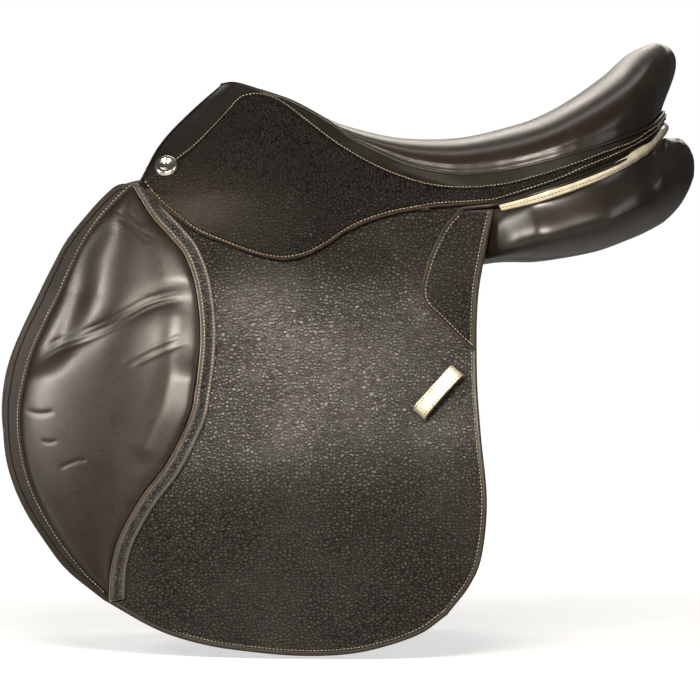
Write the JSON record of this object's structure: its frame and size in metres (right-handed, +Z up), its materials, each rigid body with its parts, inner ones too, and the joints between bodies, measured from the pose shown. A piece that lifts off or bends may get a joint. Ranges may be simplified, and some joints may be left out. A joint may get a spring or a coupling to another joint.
{
  "type": "close contact jumping saddle",
  "caption": "English close-contact jumping saddle with grained flaps, padded knee parts, skirts over stirrup bars, a pale cantle trim and panel cushions; flaps, skirts, catches and straps move.",
  "frame": {"origin": "under the middle of the saddle's outer box, level with the lowest edge of the flaps", "axes": "+X back to the cantle, so the horse faces -X; +Y to the horse's off (right) side; +Z up"},
  "size_m": [0.5967, 0.411, 0.5225],
  "materials": {
    "smooth_leather": "smooth and polished, near black with a brown cast",
    "grained_leather": "pebbled grain, near black with a brown cast",
    "sweat_leather": "plain matt",
    "strap_leather": "plain, pressed edges",
    "pale_trim": "pale patent leather",
    "nickel": "polished nickel plate",
    "bar_steel": "plain forged steel",
    "laminated_beech": "laminated beech",
    "canvas_web": "woven canvas web",
    "seat_foam": "open foam, kept under fabric"
  },
  "bodies": {
    "saddle": {"bar_rivet_front_left": "bar_steel", "bar_rivet_front_right": "bar_steel", "bar_rivet_rear_left": "bar_steel", "bar_rivet_rear_right": "bar_steel", "cantle_trim": "pale_trim", "catch_pin_left": "bar_steel", "catch_pin_right": "bar_steel", "girth_web_front": "canvas_web", "girth_web_rear": "canvas_web", "gullet_plate": "bar_steel", "head_plate": "bar_steel", "knee_block_left": "sweat_leather", "knee_block_right": "sweat_leather", "panel_left": "smooth_leather", "panel_right": "smooth_leather", "seat_cover": "smooth_leather", "seat_foam": "seat_foam", "seat_web_left": "canvas_web", "seat_web_right": "canvas_web", "skirt_stud_left": "nickel", "skirt_stud_right": "nickel", "skirt_top_left": "smooth_leather", "skirt_top_right": "smooth_leather", "spring_left": "bar_steel", "spring_right": "bar_steel", "stirrup_bar_left": "bar_steel", "stirrup_bar_right": "bar_steel", "sweat_flap_left": "sweat_leather", "sweat_flap_right": "sweat_leather", "tree": "laminated_beech"},
    "flap_left": {"flap_left": "smooth_leather", "flap_facing_left": "grained_leather", "knee_pad_left": "smooth_leather", "corner_patch_left": "grained_leather", "leather_keeper_left": "pale_trim"},
    "skirt_left": {"skirt_left": "grained_leather"},
    "catch_left": {"bar_catch_left": "bar_steel"},
    "strap_front_left": {"girth_strap_front_left": "strap_leather"},
    "strap_rear_left": {"girth_strap_rear_left": "strap_leather"},
    "flap_right": {"flap_right": "smooth_leather", "flap_facing_right": "grained_leather", "knee_pad_right": "smooth_leather", "corner_patch_right": "grained_leather", "leather_keeper_right": "pale_trim"},
    "skirt_right": {"skirt_right": "grained_leather"},
    "catch_right": {"bar_catch_right": "bar_steel"},
    "strap_front_right": {"girth_strap_front_right": "strap_leather"},
    "strap_rear_right": {"girth_strap_rear_right": "strap_leather"}
  },
  "joints": [
    {"name": "flap_lift_left", "type": "hinge", "parent": "saddle", "child": "flap_left", "pos_m": [-0.1796, -0.0885, 0.4019], "axis": [-0.9869, 0.1462, 0.0689], "range_deg": [0, 90]},
    {"name": "skirt_lift_left", "type": "hinge", "parent": "flap_left", "child": "skirt_left", "pos_m": [-0.1796, -0.0885, 0.4019], "axis": [-0.9869, 0.1462, 0.0689], "range_deg": [0, 30]},
    {"name": "catch_turn_left", "type": "hinge", "parent": "saddle", "child": "catch_left", "pos_m": [-0.05135, -0.10185, 0.37], "axis": [-0.1465, -0.9892, 0], "range_deg": [0, 90]},
    {"name": "strap_swing_front_left", "type": "hinge", "parent": "saddle", "child": "strap_front_left", "pos_m": [0.006, -0.1029, 0.36295], "axis": [-0.1141, -0.9655, 0.2341], "range_deg": [-8, 8]},
    {"name": "strap_swing_rear_left", "type": "hinge", "parent": "saddle", "child": "strap_rear_left", "pos_m": [0.07, -0.11747, 0.35848], "axis": [-0.0922, -0.9686, 0.2309], "range_deg": [-8, 8]},
    {"name": "flap_lift_right", "type": "hinge", "parent": "saddle", "child": "flap_right", "pos_m": [-0.1796, 0.0885, 0.4019], "axis": [0.9869, 0.1462, -0.0689], "range_deg": [0, 90]},
    {"name": "skirt_lift_right", "type": "hinge", "parent": "flap_right", "child": "skirt_right", "pos_m": [-0.1796, 0.0885, 0.4019], "axis": [0.9869, 0.1462, -0.0689], "range_deg": [0, 30]},
    {"name": "catch_turn_right", "type": "hinge", "parent": "saddle", "child": "catch_right", "pos_m": [-0.05135, 0.10185, 0.37], "axis": [0.1465, -0.9892, 0], "range_deg": [0, 90]},
    {"name": "strap_swing_front_right", "type": "hinge", "parent": "saddle", "child": "strap_front_right", "pos_m": [0.006, 0.1029, 0.36295], "axis": [0.1141, -0.9655, -0.2341], "range_deg": [-8, 8]},
    {"name": "strap_swing_rear_right", "type": "hinge", "parent": "saddle", "child": "strap_rear_right", "pos_m": [0.07, 0.11747, 0.35848], "axis": [0.0922, -0.9686, -0.2309], "range_deg": [-8, 8]}
  ]
}
